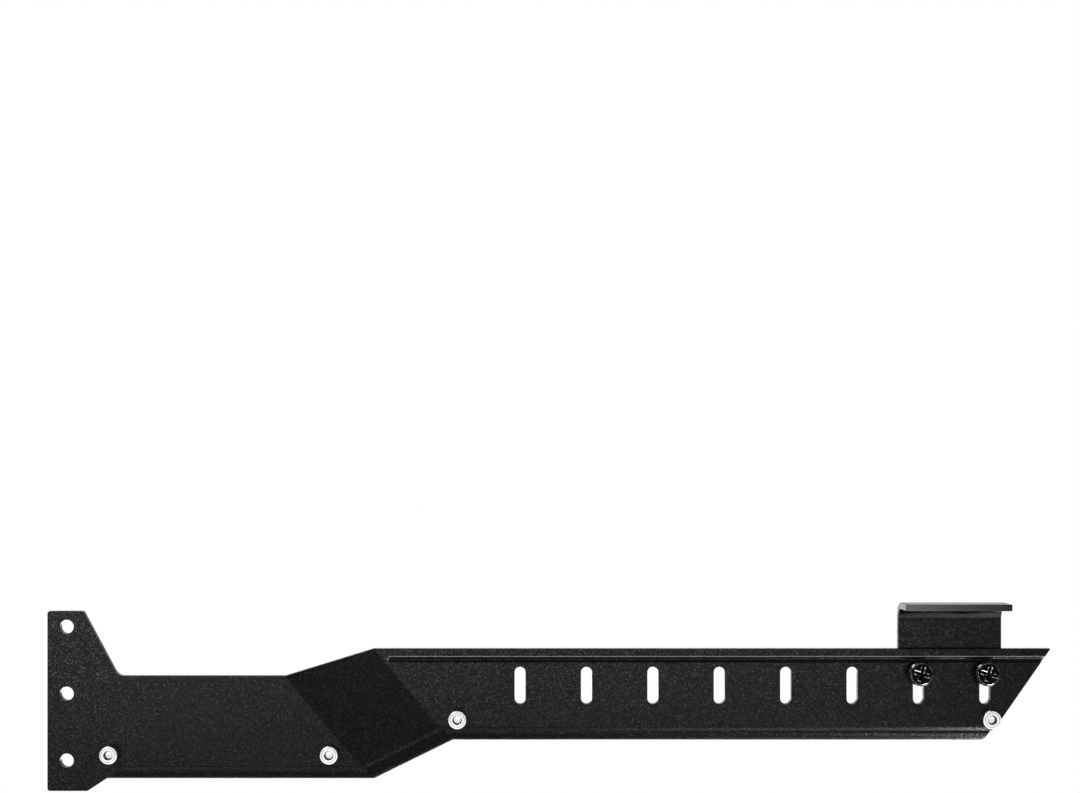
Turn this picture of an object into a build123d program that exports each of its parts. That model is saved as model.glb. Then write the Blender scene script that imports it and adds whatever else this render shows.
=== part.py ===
from build123d import *
import os
from math import atan2, cos, radians, sin, tan

os.makedirs("parts", exist_ok=True)

# Frame: the origin is the middle card-screw hole, on the back face of the tab.
# +X runs along the bracket to its free end, +Y goes into the case, +Z is up.

# Tab that goes under the card screws of the case
pci_pitch = 20.32
pci_hole_d = 4.2
tab_left = 5.9
tab_right_top = 4.8
tab_right_foot = 6.3
tab_above_hole = 4.75
tab_below_hole = 9.25
tab_corner_r = 0.8
upper_gusset_run = 10.6
lower_gusset_run = 9.7
gusset_r = 3.0

# Front plate: the neck beside the tab, the slanted ramp and the slotted beam
plate_t = 2.5
neck_above = 5.4
neck_below = 23.2
beam_above = 14.1
beam_below = 10.75
ramp_start_x = 66.3
ramp_run = 27.3
plate_reach = 297.5
end_slant = 17.3
lower_bevel = 1.1

# Joggle: two parallel folds that carry the beam ahead of the tab
joggle = 4.0
fold_lean = 39.7

# Upright slots for the thumb screws
slot_count = 8
slot_pitch = 20.0
slot_w = 3.3
slot_length = 11.2
last_slot_to_end = 2.5
slot_mid_z = 3.0

# Ball-ended groove along the top of the beam
groove_w = 1.6
groove_depth = 0.6
groove_from_top = 3.2
groove_start_x = 97.9

# Stiffener rail behind the plate, with its foot folded back
rail_t = 1.5
rail_show = 3.3
rail_web = 9.3
rail_foot = 5.5
rail_fold_r = 0.7
rail_foot_corner_r = 2.0
rail_tip_r = 1.5
rail_end_margin = 3.4

# M3 socket-head screws that hold the rail to the plate
thread_d = 3.0
thread_lead = 0.3
thread_clearance = 0.05
screw_hole_clearance = 0.1
cap_head_d = 5.5
cap_head_h = 3.0
cap_rim = 0.5
cap_socket = 2.5
cap_socket_depth = 1.5
cap_tail = 1.5
cap_neck_rise = 4.9
cap_beam_rise = 3.75
neck_cap_near_x = 13.3
neck_cap_far_x = 79.9
beam_cap_near_x = 118.9
beam_cap_to_end = 1.1

# Support arm: an upright leg behind the beam and a shelf folded to the front
arm_t = 2.0
arm_side = 5.6
arm_slot = 1
arm_drop = 3.0
arm_rise = 21.2
arm_fold_r = 3.5
arm_foot_r = 1.5
shelf_reach = 11.7
shelf_corner_r = 2.0
second_row = 5.6

# Knurled M3 thumb screws
thumb_below_slot_top = 1.7
thumb_d = 7.6
thumb_h = 4.0
thumb_face_d = 6.3
thumb_chamfer_h = 0.6
knurl_teeth = 26
knurl_depth = 0.3
thumb_tail = 2.0
recess_w = 1.0
recess_depth = 1.2
recess_span = 4.2
driver_slot_w = 0.7
driver_slot_depth = 0.8

# Shared places, worked out from the sizes above
neck_front = -plate_t
beam_front = -plate_t - joggle
beam_back = -joggle
tab_top = pci_pitch + tab_above_hole
tab_bottom = -pci_pitch - tab_below_hole
blank = 2 * plate_reach
end_x = plate_reach - end_slant
gusset_top_x = tab_right_top + upper_gusset_run
gusset_low_x = tab_right_foot + lower_gusset_run
ramp_end_x = ramp_start_x + ramp_run
rail_low_neck = -neck_below - rail_show
rail_low_beam = -beam_below - rail_show
rail_top_neck = rail_low_neck + rail_web
rail_top_beam = rail_low_beam + rail_web
rail_left_x = neck_cap_near_x - rail_end_margin
thread_r = thread_d / 2
tapped_r = thread_r + thread_clearance
across = (cos(radians(fold_lean)), sin(radians(fold_lean)))
across_dir = (across[0], 0, across[1])


def across_folds(x, z):
    return x * across[0] + z * across[1]


def fold_x(fold, z):
    return (fold - z * across[1]) / across[0]


# The two folds run down from the corners of the plate's top edge
fold_in = across_folds(ramp_start_x, neck_above)
fold_out = across_folds(ramp_end_x, beam_above)
fold_angle = atan2(joggle, fold_out - fold_in)
fold_plane = Plane(
    origin=(0, 0, 0), x_dir=across_dir, z_dir=(-across[1], 0, across[0])
)


def end_edge_x(z):
    return plate_reach - end_slant * (beam_above - z) / (beam_above + beam_below)


def fold_points(depth):
    # Section of the joggle at a depth behind the plate's front face
    shift = depth * tan(fold_angle / 2)
    return [
        (-blank, neck_front + depth),
        (fold_in + shift, neck_front + depth),
        (fold_out + shift, beam_front + depth),
        (blank, beam_front + depth),
    ]


def joggled_block(front, back):
    ends = [Line(front @ 0, back @ 0), Line(front @ 1, back @ 1)]
    section = make_face([*front.edges(), *back.edges(), *ends])
    return extrude(fold_plane * section, amount=blank, both=True)


def front_prism(face):
    return extrude(Plane.XZ * face, amount=blank, both=True)


def drilled(places, radius):
    return front_prism(Sketch() + [Pos(x, z) * Circle(radius) for x, z in places])


# Places of the screws, seen from the front
pci_holes = [(0, n * pci_pitch) for n in (-1, 0, 1)]
cap_neck_z = cap_neck_rise - neck_below
cap_beam_z = cap_beam_rise - beam_below
cap_neck = [(neck_cap_near_x, cap_neck_z), (neck_cap_far_x, cap_neck_z)]
cap_beam = [(beam_cap_near_x, cap_beam_z), (end_x - beam_cap_to_end, cap_beam_z)]
last_slot_x = end_x - last_slot_to_end
slot_places = [(last_slot_x - n * slot_pitch, slot_mid_z) for n in range(slot_count)]
thumb_z = slot_mid_z + slot_length / 2 - thumb_below_slot_top
thumb_places = [(x, thumb_z) for x, z in (slot_places[arm_slot], slot_places[arm_slot - 1])]
arm_mid_x = (thumb_places[0][0] + thumb_places[1][0]) / 2


def plate_outline():
    corners = [
        (-tab_left, tab_top),
        (tab_right_top, tab_top),
        (gusset_top_x, neck_above),
        (ramp_start_x, neck_above),
        (ramp_end_x, beam_above),
        (plate_reach, beam_above),
        (end_x, -beam_below),
        (fold_x(fold_out, -beam_below), -beam_below),
        (fold_x(fold_in, -neck_below), -neck_below),
        (gusset_low_x, -neck_below),
        (tab_right_foot, tab_bottom),
        (-tab_left, tab_bottom),
    ]
    face = make_face(Polyline(*corners, close=True))
    tab_corners = face.vertices().sort_by(Axis.X)[:4]
    face = fillet(tab_corners, tab_corner_r)
    inner = face.vertices().sort_by_distance((gusset_top_x, neck_above))[0]
    return fillet(inner, gusset_r)


def along_lower_edge(section, start_x, depth):
    # A section carried along the neck, up the ramp and along the beam
    straight = extrude(Plane.YZ.offset(start_x) * section, amount=blank)
    first_fold = fold_in + depth * tan(fold_angle / 2)
    meeting = Plane(origin=Vector(across_dir) * first_fold, z_dir=across_dir)
    neck = split(straight, bisect_by=meeting, keep=Keep.BOTTOM)
    rise = neck_below - beam_below
    run = fold_x(fold_out, rise) - fold_x(fold_in, 0)
    slope = Vector(run, -joggle, rise)
    onward = Axis((0, 0, 0), across_dir)
    ramp = extrude(neck.faces().sort_by(onward)[-1], amount=slope.length, dir=slope)
    beam = extrude(ramp.faces().sort_by(onward)[-1], amount=blank, dir=(1, 0, 0))
    return neck + ramp + beam


def bevel_cut():
    wedge = Polyline(
        (neck_front, lower_bevel - neck_below),
        (neck_front + lower_bevel, -neck_below),
        (neck_front - lower_bevel, -neck_below - lower_bevel),
        close=True,
    )
    return along_lower_edge(make_face(wedge), gusset_low_x, 0)


def groove_cut():
    ball_r = (groove_w**2 / 4 + groove_depth**2) / (2 * groove_depth)
    axis_y = beam_front + groove_depth - ball_r
    axis_z = beam_above - groove_from_top
    first = groove_start_x + groove_w / 2
    run = plate_reach + groove_w - first
    bar = Pos(first, axis_y, axis_z) * Rot(0, 90, 0) * Cylinder(
        ball_r, run, align=(Align.CENTER, Align.CENTER, Align.MIN)
    )
    return bar + Pos(first, axis_y, axis_z) * Sphere(ball_r)


def front_plate():
    sheet = joggled_block(Polyline(*fold_points(0)), Polyline(*fold_points(plate_t)))
    plate = sheet & front_prism(plate_outline())
    plate -= drilled(pci_holes, pci_hole_d / 2)
    plate -= drilled(cap_neck + cap_beam, thread_r + screw_hole_clearance)
    slot = SlotOverall(slot_length, slot_w, rotation=90)
    plate -= front_prism(Sketch() + [Pos(x, z) * slot for x, z in slot_places])
    return plate - groove_cut() - bevel_cut()


def angle_section(outside, inside):
    # Section of a sheet folded once
    ends = [Line(outside @ 0, inside @ 0), Line(outside @ 1, inside @ 1)]
    return make_face([*outside.edges(), *inside.edges(), *ends])


def rail_section():
    web_y = neck_front + plate_t
    foot_y = web_y + rail_foot
    inner_y = web_y + rail_t
    inner_z = rail_low_neck + rail_t
    outside = FilletPolyline(
        (web_y, rail_top_neck), (web_y, rail_low_neck), (foot_y, rail_low_neck), radius=rail_fold_r + rail_t
    )
    inside = FilletPolyline(
        (inner_y, rail_top_neck), (inner_y, inner_z), (foot_y, inner_z), radius=rail_fold_r
    )
    return angle_section(outside, inside)


def rail_tip_waste():
    # What is rounded off the rail's lower corner at the free end
    tip = (end_edge_x(rail_low_beam), rail_low_beam)
    end_top = (end_edge_x(rail_top_beam), rail_top_beam)
    wedge = make_face(Polyline((beam_cap_near_x, rail_low_beam), tip, end_top, close=True))
    rounded = fillet(wedge.vertices().sort_by_distance(tip)[0], rail_tip_r)
    arc = rounded.edges().filter_by(GeomType.CIRCLE)[0]
    low, high = sorted((arc @ 0, arc @ 1), key=lambda point: point.Y)
    outside = (tip[0] + rail_tip_r, tip[1] - rail_tip_r)
    corner = Polyline(low, (low.X, outside[1]), outside, (outside[0], high.Y), high)
    return front_prism(make_face([arc, *corner.edges()]))


def stiffener_rail():
    end_line = [(end_edge_x(tab_bottom), tab_bottom), (end_edge_x(tab_top), tab_top)]
    kept = make_face(Polyline((-blank, tab_bottom), *end_line, (-blank, tab_top), close=True))
    rail = along_lower_edge(rail_section(), rail_left_x, plate_t) & front_prism(kept)
    foot_back = neck_front + plate_t + rail_foot
    foot_ends = [
        (rail_left_x, foot_back, rail_low_neck + rail_t / 2),
        (end_edge_x(rail_low_beam + rail_t / 2), foot_back - joggle, rail_low_beam + rail_t / 2),
    ]
    corners = [rail.edges().sort_by_distance(place)[0] for place in foot_ends]
    rail = fillet(corners, rail_foot_corner_r) - rail_tip_waste()
    return rail - drilled(cap_neck + cap_beam, tapped_r)


def seated(screw, place, seat_y):
    # A screw is drawn head up on its seat, then turned to face the front
    x, z = place
    return Plane(origin=(x, seat_y, z), x_dir=(1, 0, 0), z_dir=(0, -1, 0)) * screw


def shank(length):
    low = (Align.CENTER, Align.CENTER, Align.MAX)
    rod = Cylinder(thread_r, length, align=low)
    return chamfer(rod.edges().group_by(Axis.Z)[0], thread_lead)


def cap_screw():
    up = (Align.CENTER, Align.CENTER, Align.MIN)
    head = Cylinder(cap_head_d / 2, cap_head_h, align=up)
    head = chamfer(head.edges().group_by(Axis.Z)[-1], cap_rim)
    hexagon = RegularPolygon(cap_socket / 2, 6, major_radius=False)
    head -= Pos(0, 0, cap_head_h) * extrude(hexagon, amount=-cap_socket_depth)
    return head + shank(plate_t + rail_t + cap_tail)


def support_arm():
    foot_z = thumb_z - arm_drop
    shelf_z = thumb_z + arm_rise
    arm_back = beam_back + arm_t
    shelf_front = beam_back - shelf_reach
    outside = FilletPolyline(
        (arm_back, foot_z), (arm_back, shelf_z), (shelf_front, shelf_z), radius=arm_fold_r + arm_t
    )
    inside = FilletPolyline(
        (beam_back, foot_z), (beam_back, shelf_z - arm_t), (shelf_front, shelf_z - arm_t), radius=arm_fold_r
    )
    section = angle_section(outside, inside)
    half_width = slot_pitch / 2 + arm_side
    arm = extrude(Plane.YZ.offset(arm_mid_x) * section, amount=half_width, both=True)
    shelf_corner = arm.edges().filter_by(Axis.Z).group_by(Axis.Y)[0].sort_by(Axis.X)[0]
    arm = fillet(shelf_corner, shelf_corner_r)
    arm = fillet(arm.edges().filter_by(Axis.Y).group_by(Axis.Z)[0], arm_foot_r)
    upper_holes = [(x, z + second_row) for x, z in thumb_places]
    return arm - drilled(thumb_places + upper_holes, tapped_r)


def thumb_screw():
    radius = thumb_d / 2
    steps = [(n, radius - knurl_depth * (n % 2)) for n in range(2 * knurl_teeth)]
    star = [Vector(r, 0).rotate(Axis.Z, n * 180 / knurl_teeth) for n, r in steps]
    head = extrude(make_face(Polyline(*star, close=True)), amount=thumb_h)
    blank_side = Polyline(
        (0, 0),
        (radius - knurl_depth, 0),
        (radius, knurl_depth),
        (radius, thumb_h - thumb_chamfer_h),
        (thumb_face_d / 2, thumb_h),
        (0, thumb_h),
        close=True,
    )
    head &= revolve(Plane.XZ * make_face(blank_side), Axis.Z)
    top = Pos(0, 0, thumb_h)
    cross = Rectangle(recess_span, recess_w) + Rectangle(recess_w, recess_span)
    head -= top * extrude(cross, amount=-recess_depth)
    head -= top * extrude(Rectangle(thumb_d, driver_slot_w), amount=-driver_slot_depth)
    return head + shank(plate_t + arm_t + thumb_tail)


nodes = {
    "front_plate": front_plate(),
    "stiffener_rail": stiffener_rail(),
    "support_arm": support_arm(),
}
for n, place in enumerate(cap_neck):
    nodes[f"neck_cap_screw_{n + 1}"] = seated(cap_screw(), place, neck_front)
for n, place in enumerate(cap_beam):
    nodes[f"beam_cap_screw_{n + 1}"] = seated(cap_screw(), place, beam_front)
for side, place in zip(("left", "right"), thumb_places):
    nodes[f"{side}_thumb_screw"] = seated(thumb_screw(), place, beam_front)

for name, solid in nodes.items():
    export_step(solid, f"parts/{name}.step")
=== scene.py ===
import math
import bpy
import bmesh
from mathutils import Matrix, Vector


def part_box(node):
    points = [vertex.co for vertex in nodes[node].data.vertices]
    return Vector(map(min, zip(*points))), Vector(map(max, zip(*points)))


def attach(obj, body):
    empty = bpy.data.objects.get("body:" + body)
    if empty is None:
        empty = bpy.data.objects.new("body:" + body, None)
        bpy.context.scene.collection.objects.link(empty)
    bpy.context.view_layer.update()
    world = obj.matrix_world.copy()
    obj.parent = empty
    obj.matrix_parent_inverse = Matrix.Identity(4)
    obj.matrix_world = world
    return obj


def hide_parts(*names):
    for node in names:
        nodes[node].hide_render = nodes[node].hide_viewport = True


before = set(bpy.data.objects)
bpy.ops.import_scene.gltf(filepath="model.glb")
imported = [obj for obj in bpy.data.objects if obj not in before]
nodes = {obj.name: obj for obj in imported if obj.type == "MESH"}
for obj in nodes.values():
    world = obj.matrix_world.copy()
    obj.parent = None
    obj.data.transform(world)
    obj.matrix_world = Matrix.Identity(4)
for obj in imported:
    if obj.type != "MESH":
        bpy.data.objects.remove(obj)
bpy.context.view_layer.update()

mm = 0.001
fullTurn = 2 * math.pi
noiseMiddle = 0.5  # noise textures swing about this
faceWeight = 100  # the larger faces decide the normals
scene = bpy.context.scene
print("frame loaded:", len(nodes), "nodes")


# sums on a socket add Math nodes, every other node comes from node()
class Wire:
    def __init__(self, tree, socket=None):
        self.tree = tree
        self.socket = socket

    def node(self, kind, settings=None, inputs=None, out=0):
        made = self.tree.nodes.new("ShaderNode" + kind)
        for key, value in (settings or {}).items():
            setattr(made, key, value)
        for key, value in (inputs or {}).items():
            self.feed(made.inputs[key], value)
        return Wire(self.tree, made.outputs[out])

    def feed(self, target, value):
        if isinstance(value, Wire):
            self.tree.links.new(value.socket, target)
        else:
            target.default_value = value

    def maths(self, operation, first, second=0.0):
        return self.node("Math", {"operation": operation}, {0: first, 1: second})

    def parts(self):  # x, y and z of a place or a direction
        made = self.node("SeparateXYZ", None, {0: self})
        return [Wire(self.tree, out) for out in made.socket.node.outputs]

    def mixed(self, dark, pale):  # this wire is the share of the second colour
        ends = [colour if isinstance(colour, Wire) else (*colour, 1) for colour in (dark, pale)]
        return self.node("Mix", {"data_type": "RGBA"}, {0: self, 6: ends[0], 7: ends[1]}, 2)

    def __add__(self, other):
        return self.maths("ADD", self, other)

    def __radd__(self, other):
        return self.maths("ADD", other, self)

    def __sub__(self, other):
        return self.maths("SUBTRACT", self, other)

    def __rsub__(self, other):
        return self.maths("SUBTRACT", other, self)

    def __mul__(self, other):
        return self.maths("MULTIPLY", self, other)

    def __rmul__(self, other):
        return self.maths("MULTIPLY", other, self)

    def __gt__(self, other):
        return self.maths("GREATER_THAN", self, other)

    def __lt__(self, other):
        return self.maths("LESS_THAN", self, other)


def newMaterial(name):
    material = bpy.data.materials.new(name)
    material.use_nodes = True
    shader = material.node_tree.nodes["Principled BSDF"]
    return material, Wire(material.node_tree), shader


def noise(place, values):
    return place.node("TexNoise", None, {"Vector": place, **values})


def addBump(start, shader, height, depth):
    bump = start.node("Bump", None, {"Distance": depth, "Height": height})
    start.feed(shader.inputs["Normal"], bump)


# black blasted finish of the plate, the rail and the arm
blackFinish = {
    "dark": (0.0018, 0.0018, 0.0019),
    "pale": (0.0048, 0.0048, 0.0047),
    "grainShare": 0.6,  # how far the grain and the clouds set the colour
    "cloudShare": 0.4,
    "specular": 0.032,
    "roughness": 0.21,
    "grainRough": 0.1,
    "cloudRough": 0.06,
    "speckShare": 0.71,  # cells that draw more than this shine
    "speckWeight": 2.05,
    "speckIor": 1.3,
    "speckRoughness": 0.22,
    "grain": {"Scale": 1500.0, "Detail": 1.5},  # lumps of 0.7 mm
    "fleck": {"Scale": 3900.0},  # flecks of 0.26 mm
    "cloud": {"Scale": 35.0, "Detail": 2.0},  # clouds of 30 mm
    "grainDepth": 0.05 * mm,
    "fleckHeight": 0.37,  # of the grain's
}


def makeBlackFinish(name, paintedHighlight=None):
    look = blackFinish
    material, start, shader = newMaterial(name)
    place = start.node("TexCoord", out="Object")
    grain = noise(place, look["grain"])
    cloud = noise(place, look["cloud"])
    cells = {"Vector": place, **look["fleck"]}
    fleck = start.node("TexVoronoi", None, cells)
    draw = start.node("SeparateColor", None, {0: start.node("TexVoronoi", None, cells, "Color")})
    colour = (look["grainShare"] * grain + look["cloudShare"] * cloud).mixed(look["dark"], look["pale"])
    shine = start.maths("MAXIMUM", draw - look["speckShare"], 0.0) * look["speckWeight"]
    # a painted highlight, if given, is mixed into the colour, and the shine flecks are taken off there and
    # where it is dull
    if paintedHighlight:
        share, tone, dull = paintedHighlight(start, place)
        colour = share.mixed(colour, tone)
        shine = shine * (1 - start.maths("MAXIMUM", share, dull))
    start.feed(shader.inputs["Base Color"], colour)
    start.feed(shader.inputs["Coat Weight"], shine)
    shader.inputs["Coat IOR"].default_value = look["speckIor"]
    shader.inputs["Coat Roughness"].default_value = look["speckRoughness"]
    roughness = look["roughness"] + look["grainRough"] * (grain - noiseMiddle)
    start.feed(shader.inputs["Roughness"], roughness + look["cloudRough"] * (cloud - noiseMiddle))
    shader.inputs["Specular IOR Level"].default_value = look["specular"]
    addBump(start, shader, grain + look["fleckHeight"] * fleck, look["grainDepth"])
    return material


# edges of the folded sheets are broken a little
sheetEdge = {
    "width": 0.2 * mm, "rings": 3, "sharperThan": math.radians(28),
    "joinWithin": 0.002 * mm, "flatWithin": math.radians(0.5),
}
foldPlan = {
    "lean": math.radians(39.7), "joggle": 4.0, "run": 26.56,  # millimetres forward and across the folds
    "levelWithin": 0.001 * mm, "rampWithin": 0.9999,  # the second is a cosine
}


def smoothNormals(piece):
    piece.data.shade_smooth()
    normals = piece.modifiers.new("normals", "WEIGHTED_NORMAL")
    normals.mode = "FACE_AREA"
    normals.weight = faceWeight
    normals.keep_sharp = True


def addBevel(piece, width, rings, sharperThan, clamp):
    bevel = piece.modifiers.new("edge", "BEVEL")
    bevel.width = width
    bevel.segments = rings
    bevel.limit_method = "ANGLE"
    bevel.angle_limit = sharperThan
    bevel.use_clamp_overlap = clamp
    bevel.loop_slide = False


def addFlattening(piece, limit):
    flat = piece.modifiers.new("flat", "DECIMATE")
    flat.decimate_type = "DISSOLVE"
    flat.angle_limit = limit


def keepFlat(piece):  # flat faces keep their own normal, so the folds stay crisp
    slope, lean = foldPlan["joggle"] / foldPlan["run"], foldPlan["lean"]
    ramp = Vector((slope * math.cos(lean), 1, slope * math.sin(lean))).normalized()
    for face in piece.data.polygons:
        depths = [piece.data.vertices[n].co.y for n in face.vertices]
        level = max(depths) - min(depths) < foldPlan["levelWithin"]
        onRamp = abs(face.normal.dot(ramp)) >= foldPlan["rampWithin"]
        face.use_smooth = not (level or onRamp)


def dressSheet(name, material):
    piece = nodes[name]
    piece.data.materials.clear()
    piece.data.materials.append(material)
    weld = piece.modifiers.new("join", "WELD")
    weld.merge_threshold = sheetEdge["joinWithin"]
    addFlattening(piece, sheetEdge["flatWithin"])
    addBevel(piece, sheetEdge["width"], sheetEdge["rings"], sheetEdge["sharperThan"], False)
    addFlattening(piece, sheetEdge["flatWithin"])
    smoothNormals(piece)
    keepFlat(piece)


# a painted highlight: a fine pale line along the groove's upper edge; places in millimetres
grooveHighlight = {
    "height": 10.9, "start": 98.7, "reach": 0.85, "width": 0.13,
    "above": 10.5, "front": -6.0, "pale": (0.22, 0.22, 0.217),
}


def paintedGrooveHighlight(start, place):
    plan = grooveHighlight
    x, y, z = place.parts()
    before = start.maths("MAXIMUM", plan["start"] * mm - x, 0.0)
    rise = z - plan["height"] * mm
    away = start.maths("SQRT", before * before + rise * rise)
    # painted highlight: a thin pale ring round the groove's rounded left end and along its upper edge
    share = start.maths("ABSOLUTE", away - plan["reach"] * mm) < plan["width"] * mm
    share = share * (z > plan["above"] * mm) * (y < plan["front"] * mm)
    return share, plan["pale"], 0.0


# a painted highlight on the sheared edge of the shelf, palest at its left end and dimming to the right, and
# the inside of its fold is dull
shelfHighlight = {
    "left": 252.0, "length": 31.2, "front": -8.0, "above": 25.9,
    "upright": 0.75,  # faces that look up or down more than this aren't the edge
    "pale": (0.14, 0.14, 0.138), "dim": (0.02, 0.02, 0.02),
    "foldLow": 22.6, "foldHigh": 26.05, "foldFront": -4.0,
}


def paintedShelfHighlight(start, place):
    plan = shelfHighlight
    x, y, z = place.parts()
    facing = start.node("TexCoord", out="Normal").parts()[2]
    share = start.maths("ABSOLUTE", facing) < plan["upright"]
    share = share * (y < plan["front"] * mm) * (z > plan["above"] * mm)
    along = (x - plan["left"] * mm) * (1 / (plan["length"] * mm))
    # painted highlight, brightest at the left end and fading along the edge
    tone = start.maths("SQRT", start.maths("MAXIMUM", along, 0.0)).mixed(plan["pale"], plan["dim"])
    dull = (z > plan["foldLow"] * mm) * (z < plan["foldHigh"] * mm) * (y < plan["foldFront"] * mm)
    return share, tone, dull


dressSheet("front_plate", makeBlackFinish("blackBlastedPlate", paintedGrooveHighlight))
dressSheet("stiffener_rail", makeBlackFinish("blackBlastedRail"))
dressSheet("support_arm", makeBlackFinish("blackBlastedArm", paintedShelfHighlight))
print("plate, rail and arm finished")


# a turned piece is rings of points round its axis; heights go out from the seat
def turned(name, rings, count):
    work = bmesh.new()
    rows = []
    for radius, height in rings:
        row = []
        for n in range(count):
            angle = fullTurn * n / count
            r = radius(angle) if callable(radius) else radius
            h = height(angle) if callable(height) else height
            row.append(work.verts.new((r * math.cos(angle) * mm, -h * mm, r * math.sin(angle) * mm)))
        rows.append(row)
    for one, two in zip(rows, rows[1:]):
        for n in range(count):
            m = (n + 1) % count
            work.faces.new((one[n], one[m], two[m], two[n]))
    work.faces.new(rows[0])
    work.faces.new(rows[-1])
    bmesh.ops.recalc_face_normals(work, faces=work.faces)
    mesh = bpy.data.meshes.new(name)
    work.to_mesh(mesh)
    work.free()
    return bpy.data.objects.new(name, mesh)


def hexagon(apothem):
    side = fullTurn / 6
    return lambda angle: apothem / math.cos(angle % side - side / 2)


# millimetres, as in every screw below
metricThread = {
    "radius": 1.5, "pitch": 0.5, "depth": 0.28, "ringsPerPitch": 10,
    "flankSlope": 2.6, "crest": 0.15, "lead": 0.3, "tipBreak": 0.08, "tipDrop": 0.05,
}


def threadRadius(height):
    thread = metricThread

    def radius(angle):
        phase = (height / thread["pitch"] + angle / fullTurn) % 1
        flank = min(1, max(0, thread["flankSlope"] * abs(phase - 0.5) - thread["crest"]))
        return thread["radius"] - thread["depth"] * flank
    return radius


def shankRings(start, end):  # plain inside the sheets, threaded where it comes out behind
    thread = metricThread
    rings = [(thread["radius"], 0.0), (thread["radius"], -start)]
    step = thread["pitch"] / thread["ringsPerPitch"]
    last = end - thread["lead"]
    for n in range(1, int((last - start) / step)):
        height = -start - n * step
        rings.append((threadRadius(height), height))
    tip = thread["radius"] - thread["lead"]
    return rings + [(tip + thread["tipBreak"], -last - thread["tipDrop"]), (tip, -end)]


# bright socket screws that hold the rail
capScrew = {
    "headRadius": 2.75, "headHeight": 3.0, "rim": 0.5, "rimRings": 5, "underBreak": 0.12,
    "socket": 1.25, "socketDepth": 1.5, "leadIn": 0.1, "mouthGap": 0.05,
    "drillRadius": 0.06, "drillDepth": 0.3, "floorRim": 0.06,
    "sheets": 3.9, "length": 5.5, "count": 48,
    "wallStep": 0.02, "faceStep": 0.05, "sideStep": 0.1,  # rings set this near an edge keep it crisp
    "sharperThan": math.radians(32), "firstTurn": 5, "turnStep": 50,  # the turns are degrees
}
brightFinish = {
    "dark": (0.70, 0.70, 0.69), "pale": (0.90, 0.90, 0.885), "hazeShare": 0.7, "turnShare": 0.3,
    "haze": {"Scale": 900.0, "Detail": 3.0},
    "turning": {"Scale": 1500.0, "Distortion": 1.5, "Detail": 1.0, "Detail Scale": 0.5},
    "roughness": 0.17, "hazeRough": 0.12, "turnRough": 0.05, "turnDepth": 0.003 * mm,
    # the socket's walls are painted near black as shade inside the recess
    "socketWallShade": (0.05, 0.05, 0.05), "socketFloor": (0.75, 0.75, 0.74), "rimShadeLine": (0.25, 0.25, 0.25),
    "socketReach": 1.47, "wallFrom": 1.08, "socketTop": 0.03, "socketEnd": 2.0,
    # a painted dark ring stands for the shading where the flat face meets the rounded rim
    "lineRadius": 2.16, "lineFade": 7, "lineDepth": 0.12,
}


def capRings():
    size = capScrew
    top, wide, rim = size["headHeight"], size["headRadius"], size["rim"]
    socket = hexagon(size["socket"])
    floor = top - size["socketDepth"]
    leadIn = top - size["leadIn"]
    mouth = size["socket"] / math.cos(math.pi / 6) + size["mouthGap"]
    under = size["underBreak"]
    rings = [(size["drillRadius"], floor - size["drillDepth"]), (size["socket"] - size["floorRim"], floor)]
    rings += [(socket, floor), (socket, floor + size["faceStep"])]
    rings += [(socket, leadIn - size["wallStep"]), (socket, leadIn)]
    rings += [(mouth, top), (mouth + size["faceStep"], top), (wide - rim - size["faceStep"], top)]
    for n in range(size["rimRings"] + 1):  # rounded corner of the rim
        lean = math.radians(90 / size["rimRings"] * n)
        rings.append((wide - rim + rim * math.sin(lean), top - rim + rim * math.cos(lean)))
    rings += [(wide, top - rim - size["sideStep"]), (wide, under + size["sideStep"]), (wide, under)]
    rings += [(wide - under, 0.0), (wide - under - size["sideStep"], 0.0)]
    return rings + shankRings(size["sheets"], size["length"])


def makeBrightFinish():
    look = brightFinish
    material, start, shader = newMaterial("brightNickel")
    place = start.node("TexCoord", out="Object")
    haze = noise(place, look["haze"])
    rings = {"wave_type": "RINGS", "rings_direction": "Y"}
    turning = start.node("TexWave", rings, {"Vector": place, **look["turning"]}, "Fac")
    x, y, z = place.parts()
    radius = start.maths("SQRT", x * x + z * z)
    depth = y + capScrew["headHeight"] * mm  # below the top of the head
    inside = (radius < look["socketReach"] * mm) * (depth > look["socketTop"] * mm)
    inside = inside * (depth < look["socketEnd"] * mm)
    # painted shade: a dark ring at the start of the rim's round
    away = start.maths("ABSOLUTE", radius - look["lineRadius"] * mm)
    line = start.maths("MAXIMUM", 1 - away * (look["lineFade"] / mm), 0.0)
    colour = (look["hazeShare"] * haze + look["turnShare"] * turning).mixed(look["dark"], look["pale"])
    colour = (line * (depth < look["lineDepth"] * mm)).mixed(colour, look["rimShadeLine"])
    colour = inside.mixed(colour, look["socketFloor"])
    # painted shade on the socket's walls
    colour = (inside * (radius > look["wallFrom"] * mm)).mixed(colour, look["socketWallShade"])
    start.feed(shader.inputs["Base Color"], colour)
    roughness = look["roughness"] + look["hazeRough"] * (haze - noiseMiddle)
    start.feed(shader.inputs["Roughness"], roughness + look["turnRough"] * turning)
    shader.inputs["Metallic"].default_value = 1.0
    addBump(start, shader, turning + haze, look["turnDepth"])
    return material


def sharpEdges(piece, limit):
    work = bmesh.new()
    work.from_mesh(piece.data)
    for face in work.faces:
        face.smooth = True
    for edge in work.edges:
        edge.smooth = edge.calc_face_angle(0) < limit
    work.to_mesh(piece.data)
    work.free()


def seat(piece, node, body, material, headHeight):
    low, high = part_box(node)
    middle = (low + high) / 2
    piece.location = (middle.x, low.y + headHeight * mm, middle.z)
    piece.data.materials.append(material)
    scene.collection.objects.link(piece)
    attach(piece, body)
    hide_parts(node)


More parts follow.
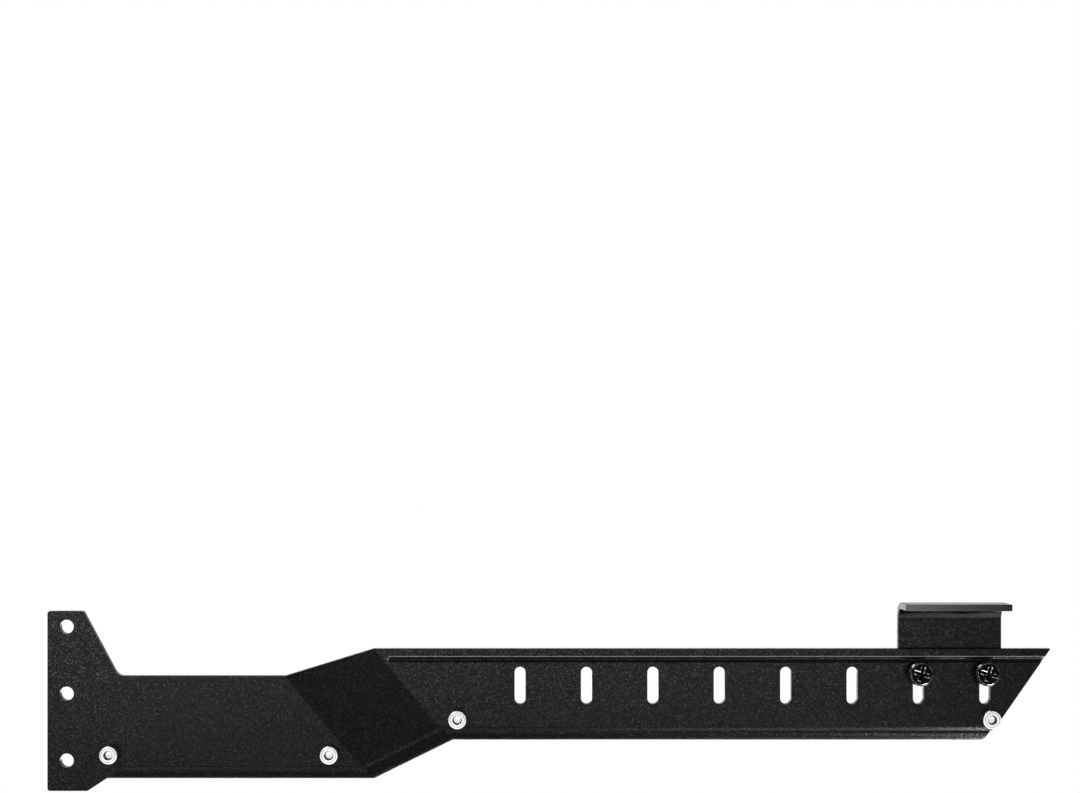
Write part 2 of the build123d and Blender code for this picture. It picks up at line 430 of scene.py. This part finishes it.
brightNickel = makeBrightFinish()
brightScrews = bpy.data.collections.new("brightScrews")  # kept from the lamps that would bleach them
for n, name in enumerate(("neck_cap_screw_1", "neck_cap_screw_2", "beam_cap_screw_1", "beam_cap_screw_2")):
    screw = turned(name + "_turned", capRings(), capScrew["count"])
    turn = math.radians(capScrew["firstTurn"] + capScrew["turnStep"] * n)
    screw.data.transform(Matrix.Rotation(turn, 4, "Y"))
    sharpEdges(screw, capScrew["sharperThan"])
    seat(screw, name, "bracket", brightNickel, capScrew["headHeight"])
    brightScrews.objects.link(screw)
for entry in brightScrews.collection_objects:
    entry.light_linking.link_state = "EXCLUDE"
print("socket screws finished")


# black knurled thumb screws with a cross recess and a driver slot
thumbScrew = {
    "radius": 3.8, "height": 4.0, "faceRadius": 3.15, "chamfer": 0.6,
    "faceBreak": 0.08, "faceDrop": 0.03, "underBreak": 0.05,
    "teeth": 26, "toothDepth": 0.3, "toothRise": (0.0, 0.8, 1.0, 0.8),  # from root to root
    "sheets": 4.4, "length": 6.5,
    "crossSpan": 4.2, "crossWidth": 1.0, "crossDepth": 1.4, "crossLean": 0.12,
    "slotReach": 3, "slotWidth": 0.7, "slotDepth": 0.8,  # the slot's reach is in radii
    "flare": 0.17, "flareLean": 1.0, "cutAbove": 1.0,
    "edge": 0.05 * mm, "edgeRings": 2, "sharperThan": math.radians(40), "turn": math.radians(16),
}
blackCoat = {
    "dark": (0.002, 0.002, 0.0021), "pale": (0.006, 0.006, 0.0058),
    "haze": {"Scale": 1400.0, "Detail": 3.0}, "patch": {"Scale": 1100.0, "Detail": 1.0},
    "roughness": 0.22, "hazeRough": 0.18, "specular": 0.004, "grainDepth": 0.012 * mm,
    "coat": 0.3, "coatRoughness": 0.2, "coatOverlap": 0.05,
    "paintedGlint": (0.5, 0.5, 0.49), "glintShare": 0.47,  # painted glints: bright metal dashes on the recess's sloped edges
    "glintTop": 0.02, "glintEnd": 0.18,
}


def toothRadius(angle):
    rises = thumbScrew["toothRise"]
    phase = (angle * thumbScrew["teeth"] / fullTurn) % 1
    rise = rises[int(len(rises) * phase + 0.5) % len(rises)]
    return thumbScrew["radius"] - thumbScrew["toothDepth"] * (1 - rise)


def thumbRings():
    size = thumbScrew
    top, face = size["height"], size["faceRadius"]
    slope = size["chamfer"] / (size["radius"] - face)
    root = size["radius"] - size["toothDepth"]
    rings = [(face - size["faceBreak"], top), (face, top - size["faceDrop"])]
    rings.append((toothRadius, lambda angle: top - slope * (toothRadius(angle) - face)))
    rings.append((toothRadius, lambda angle: toothRadius(angle) - root))
    rings.append((root - size["underBreak"], 0.0))
    return rings + shankRings(size["sheets"], size["length"])


def wedgeCutter(length, width, depth, lean):  # sizes at the face, sides lean in with depth
    work = bmesh.new()
    bmesh.ops.create_cube(work, size=1.0)
    for point in work.verts:
        rise = -depth if point.co.y > 0 else thumbScrew["cutAbove"]
        x = point.co.x * (length + 2 * lean * rise)
        z = point.co.z * (width + 2 * lean * rise)
        point.co = Vector((x, -thumbScrew["height"] - rise, z)) * mm
    mesh = bpy.data.meshes.new("cutter")
    work.to_mesh(mesh)
    work.free()
    cutter = bpy.data.objects.new("cutter", mesh)
    scene.collection.objects.link(cutter)
    return cutter


def cutRecess(piece):
    size = thumbScrew
    wider = 2 * size["flare"]
    cross = (size["crossSpan"], size["crossWidth"], size["crossDepth"], size["crossLean"])
    flare = (size["crossSpan"] + wider, size["crossWidth"] + wider, size["flare"], size["flareLean"])
    cutters = [wedgeCutter(*bar) for bar in (cross, flare, cross, flare)]
    for cutter in cutters[2:]:
        cutter.data.transform(Matrix.Rotation(math.pi / 2, 4, "Y"))
    slot = size["slotReach"] * size["radius"]
    cutters.append(wedgeCutter(slot, size["slotWidth"], size["slotDepth"], 0.0))
    cutters.append(wedgeCutter(slot, size["slotWidth"] + wider, size["flare"], size["flareLean"]))
    scene.collection.objects.link(piece)
    for cutter in cutters:
        cut = piece.modifiers.new("cut", "BOOLEAN")
        cut.object = cutter
        cut.operation = "DIFFERENCE"
        cut.solver = "EXACT"
    cutMesh = bpy.data.meshes.new_from_object(piece.evaluated_get(bpy.context.evaluated_depsgraph_get()))
    piece.modifiers.clear()
    piece.data = cutMesh
    scene.collection.objects.unlink(piece)
    for cutter in cutters:
        bpy.data.objects.remove(cutter)


def makeBlackCoat():
    look = blackCoat
    material, start, shader = newMaterial("blackCoat")
    place = start.node("TexCoord", out="Object")
    haze = noise(place, look["haze"])
    patch = noise(place, look["patch"])
    x, y, z = place.parts()
    radius = start.maths("SQRT", x * x + z * z)
    depth = y + thumbScrew["height"] * mm  # below the face
    face = thumbScrew["faceRadius"]
    # painted glints in patches on the sloped edges of the recess and slot
    flank = (radius < face * mm) * (depth > look["glintTop"] * mm) * (depth < look["glintEnd"] * mm)
    paintedGlint = flank * (patch > look["glintShare"])
    coated = radius > (face - look["coatOverlap"]) * mm  # the knurl, not the face
    start.feed(shader.inputs["Coat Weight"], coated * look["coat"])
    shader.inputs["Coat Roughness"].default_value = look["coatRoughness"]
    colour = haze.mixed(look["dark"], look["pale"])
    start.feed(shader.inputs["Base Color"], paintedGlint.mixed(colour, look["paintedGlint"]))
    start.feed(shader.inputs["Metallic"], paintedGlint)
    start.feed(shader.inputs["Roughness"], look["roughness"] + look["hazeRough"] * (haze - noiseMiddle))
    shader.inputs["Specular IOR Level"].default_value = look["specular"]
    addBump(start, shader, haze, look["grainDepth"])
    return material


blackThumb = makeBlackCoat()
pointsRound = len(thumbScrew["toothRise"]) * thumbScrew["teeth"]
for name, body in (("left_thumb_screw", "left_thumb"), ("right_thumb_screw", "right_thumb")):
    screw = turned(name + "_turned", thumbRings(), pointsRound)
    cutRecess(screw)
    screw.data.transform(Matrix.Rotation(thumbScrew["turn"], 4, "Y"))
    addBevel(screw, thumbScrew["edge"], thumbScrew["edgeRings"], thumbScrew["sharperThan"], True)
    smoothNormals(screw)
    seat(screw, name, body, blackThumb, thumbScrew["height"])
print("thumb screws finished")


# camera, floor and lights, with places in metres
cameraPlan = {"place": (0.1437, -0.490, 0.0660), "lens": 53.53, "sensor": 36.0, "rise": 0.0739, "near": 0.01}
floorPlan = {
    "place": (0.15, 0, -0.30), "reach": 1.35, "sides": 96,
    "tone": 0.80, "roughness": 0.9, "glow": 0.62,
}
worldPlan = {"seen": 1.0, "fill": 0.35}

# a lamp that doesn't light is only seen in the gloss, and skipsBright keeps it off the bright screws
lampPlan = {
    "frontStrip": {
        "place": (0.02, -1.5, -0.04), "aim": (0.1, 0, 0), "size": (1.25, 0.22), "power": 10.4,
        "lights": True, "skipsBright": True,
    },
    "leftCard": {
        "place": (-0.53, -1.5, -0.09), "aim": (0, 0, 0), "size": (0.25, 0.34), "power": 1.5,
        "lights": False, "skipsBright": True,
    },
    "lowKickerNear": {
        "place": (0.27, -0.3, -0.28), "aim": (0.27, -0.3, 0), "size": (0.16, 0.9), "power": 0.7,
        "lights": False, "skipsBright": True,
    },
    "lowKickerFar": {
        "place": (0.42, -0.3, -0.28), "aim": (0.42, -0.3, 0), "size": (0.16, 0.9), "power": 10.0,
        "lights": False, "skipsBright": True,
    },
    "keyUpperLeft": {
        "place": (-0.4, -0.7, 0.6), "aim": (0.15, 0, 0), "size": (0.12, 0.12), "power": 3.0,
        "lights": True, "skipsBright": False,
    },
    "rimUpperLeft": {
        "place": (-0.226, -0.27, 0.585), "aim": (0.26, 0, 0), "size": (0.25, 0.25), "power": 18.0,
        "lights": False, "skipsBright": True,
    },
    "backSoft": {
        "place": (0.15, 0.9, 0.7), "aim": (0.15, 0, 0), "size": (0.8, 0.5), "power": 10.0,
        "lights": True, "skipsBright": False,
    },
    "backCard": {
        "place": (0.15, 0.8, -0.26), "aim": (0.15, 0, 0), "size": (1.4, 0.16), "power": 4.2,
        "lights": False, "skipsBright": True,
    },
    "backPanel": {
        "place": (0.09, 1.2, -0.13), "aim": (0.15, 0, 0), "size": (0.16, 0.2), "power": 0.4,
        "lights": True, "skipsBright": False,
    },
}


def makeCamera():
    data = bpy.data.cameras.new("camera")
    data.lens = cameraPlan["lens"]
    data.sensor_width = cameraPlan["sensor"]
    data.shift_y = cameraPlan["rise"]
    data.clip_start = cameraPlan["near"]
    camera = bpy.data.objects.new("camera", data)
    camera.location = cameraPlan["place"]
    camera.rotation_euler = (math.pi / 2, 0, 0)  # level, looking along +Y
    scene.collection.objects.link(camera)
    scene.camera = camera


def shownRays(start):  # one for rays that show the background, straight, mirrored or through
    rays = ("Is Camera Ray", "Is Glossy Ray", "Is Transmission Ray")
    camera, glossy, through = [start.node("LightPath", out=ray) for ray in rays]
    return start.maths("MAXIMUM", start.maths("MAXIMUM", camera, glossy), through)


def makeFloor():
    mesh = bpy.data.meshes.new("floor")
    work = bmesh.new()
    bmesh.ops.create_circle(work, cap_ends=True, segments=floorPlan["sides"], radius=floorPlan["reach"])
    work.to_mesh(mesh)
    work.free()
    floor = bpy.data.objects.new("floor", mesh)
    floor.location = floorPlan["place"]
    scene.collection.objects.link(floor)
    material, start, shader = newMaterial("paleFloor")
    tone = floorPlan["tone"]
    shader.inputs["Base Color"].default_value = (tone, tone, tone, 1)
    shader.inputs["Roughness"].default_value = floorPlan["roughness"]
    shader.inputs["Specular IOR Level"].default_value = 0.0
    lit = Wire(start.tree, shader.outputs[0])
    glow = start.node("Emission", None, {"Color": (1, 1, 1, 1), "Strength": floorPlan["glow"]})
    both = start.node("AddShader", None, {0: lit, 1: glow})
    result = start.node("MixShader", None, {0: shownRays(start), 1: lit, 2: both})
    start.feed(start.tree.nodes["Material Output"].inputs["Surface"], result)
    mesh.materials.append(material)


def makeWorld():
    world = bpy.data.worlds.new("studio")
    scene.world = world
    world.use_nodes = True
    start = Wire(world.node_tree)
    background = world.node_tree.nodes["Background"]
    background.inputs["Color"].default_value = (1, 1, 1, 1)
    more = worldPlan["seen"] - worldPlan["fill"]
    start.feed(background.inputs["Strength"], worldPlan["fill"] + more * shownRays(start))


def makeLamps():
    for name, lamp in lampPlan.items():
        data = bpy.data.lights.new(name, "AREA")
        data.shape = "RECTANGLE"
        data.size, data.size_y = lamp["size"]
        data.energy = lamp["power"]
        light = bpy.data.objects.new(name, data)
        light.location = lamp["place"]
        towards = Vector(lamp["aim"]) - Vector(lamp["place"])
        light.rotation_euler = towards.to_track_quat("-Z", "Y").to_euler()
        light.visible_camera = False
        light.visible_diffuse = lamp["lights"]
        if lamp["skipsBright"]:
            light.light_linking.receiver_collection = brightScrews
        scene.collection.objects.link(light)


makeCamera()
makeFloor()
makeWorld()
makeLamps()
scene.view_settings.view_transform = "Standard"
print("camera, floor and lights placed")
